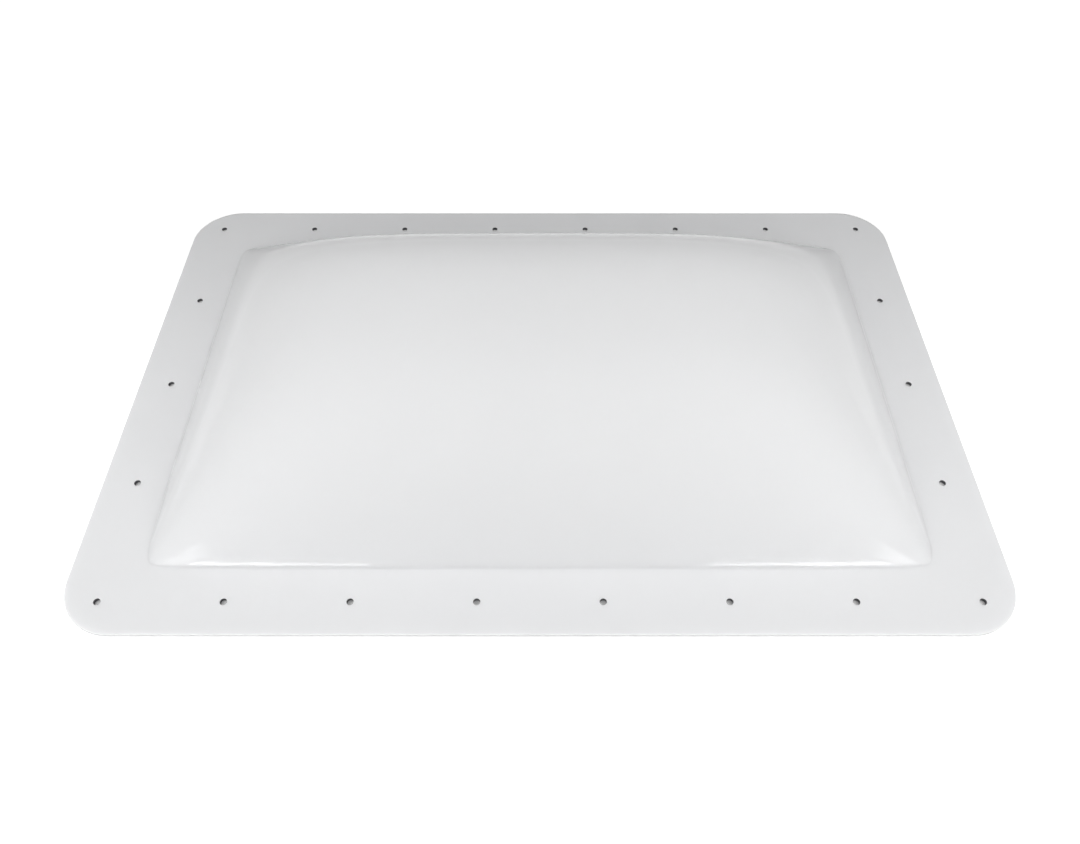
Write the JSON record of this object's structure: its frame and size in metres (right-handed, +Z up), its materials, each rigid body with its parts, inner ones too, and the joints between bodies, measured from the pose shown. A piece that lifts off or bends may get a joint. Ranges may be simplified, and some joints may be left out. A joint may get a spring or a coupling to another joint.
{
  "type": "rv skylight",
  "caption": "One-piece blown skylight dome of white translucent plastic, rectangular with rounded corners and a flat drilled flange, for a caravan or camper roof.",
  "frame": {"origin": "centre of the flange's underside, on the face that lies on the roof", "axes": "+Z up through the crown of the dome, +X along the long side of the flange"},
  "size_m": [0.7366, 0.4826, 0.1046],
  "materials": {
    "opal_sheet": "gloss"
  },
  "bodies": {
    "root": {"skylight_dome": "opal_sheet"}
  },
  "joints": []
}
